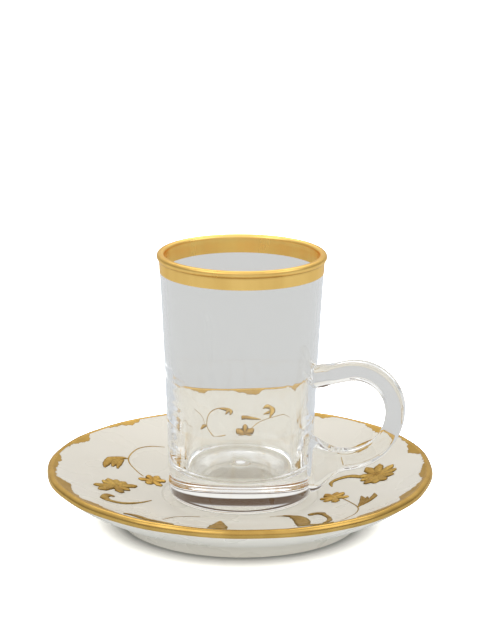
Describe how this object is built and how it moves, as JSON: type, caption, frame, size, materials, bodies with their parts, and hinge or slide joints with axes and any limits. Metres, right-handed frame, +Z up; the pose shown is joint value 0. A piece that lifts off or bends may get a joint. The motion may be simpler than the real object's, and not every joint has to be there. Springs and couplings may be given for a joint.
{
  "type": "glass tea cup and porcelain saucer",
  "caption": "Tall clear glass tea cup with a fused strap handle and a gilt rim, standing on an ivory porcelain saucer with a gilt edge and raised gilt flowers.",
  "frame": {"origin": "on the table, on the axis shared by saucer and cup", "axes": "+Z up; the handle points along +X, turned 13 degrees towards -Y"},
  "size_m": [0.14, 0.14, 0.098],
  "materials": {
    "clear_glass": "clear, polished, with a gilded lip",
    "ivory_porcelain": "glossy ivory glaze with raised gilding",
    "gilding": "burnished gold on the lip, the saucer's edge and the raised ornament"
  },
  "bodies": {
    "root": {"cup": "clear_glass", "saucer": "ivory_porcelain"}
  },
  "joints": []
}
